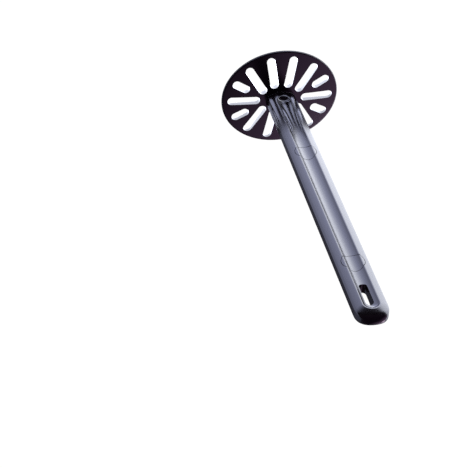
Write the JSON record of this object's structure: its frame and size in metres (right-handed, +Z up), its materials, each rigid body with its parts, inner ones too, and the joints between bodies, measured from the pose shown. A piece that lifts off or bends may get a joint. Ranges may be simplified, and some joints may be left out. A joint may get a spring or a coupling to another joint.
{
  "type": "potato masher",
  "caption": "Long-handled masher with an oval, gently domed slotted plate set square across the end of a grooved flat handle with a hang slot.",
  "frame": {"origin": "middle of the flat underside of the mashing plate", "axes": "+Z up the handle, +X along the plate's long axis, the handle's grooved front faces -Y"},
  "size_m": [0.0908, 0.0794, 0.2656],
  "materials": {
    "dark_nylon": "polished near-black nylon with an aubergine cast",
    "filled_nylon": "matt glass-filled nylon",
    "screw_steel": "bright zinc-plated steel"
  },
  "bodies": {
    "root": {"mash_plate": "dark_nylon", "handle_front_shell": "dark_nylon", "handle_back_shell": "dark_nylon", "lower_screw_plug": "dark_nylon", "upper_screw_plug": "dark_nylon", "handle_core": "filled_nylon", "lower_handle_screw": "screw_steel", "upper_handle_screw": "screw_steel"}
  },
  "joints": []
}
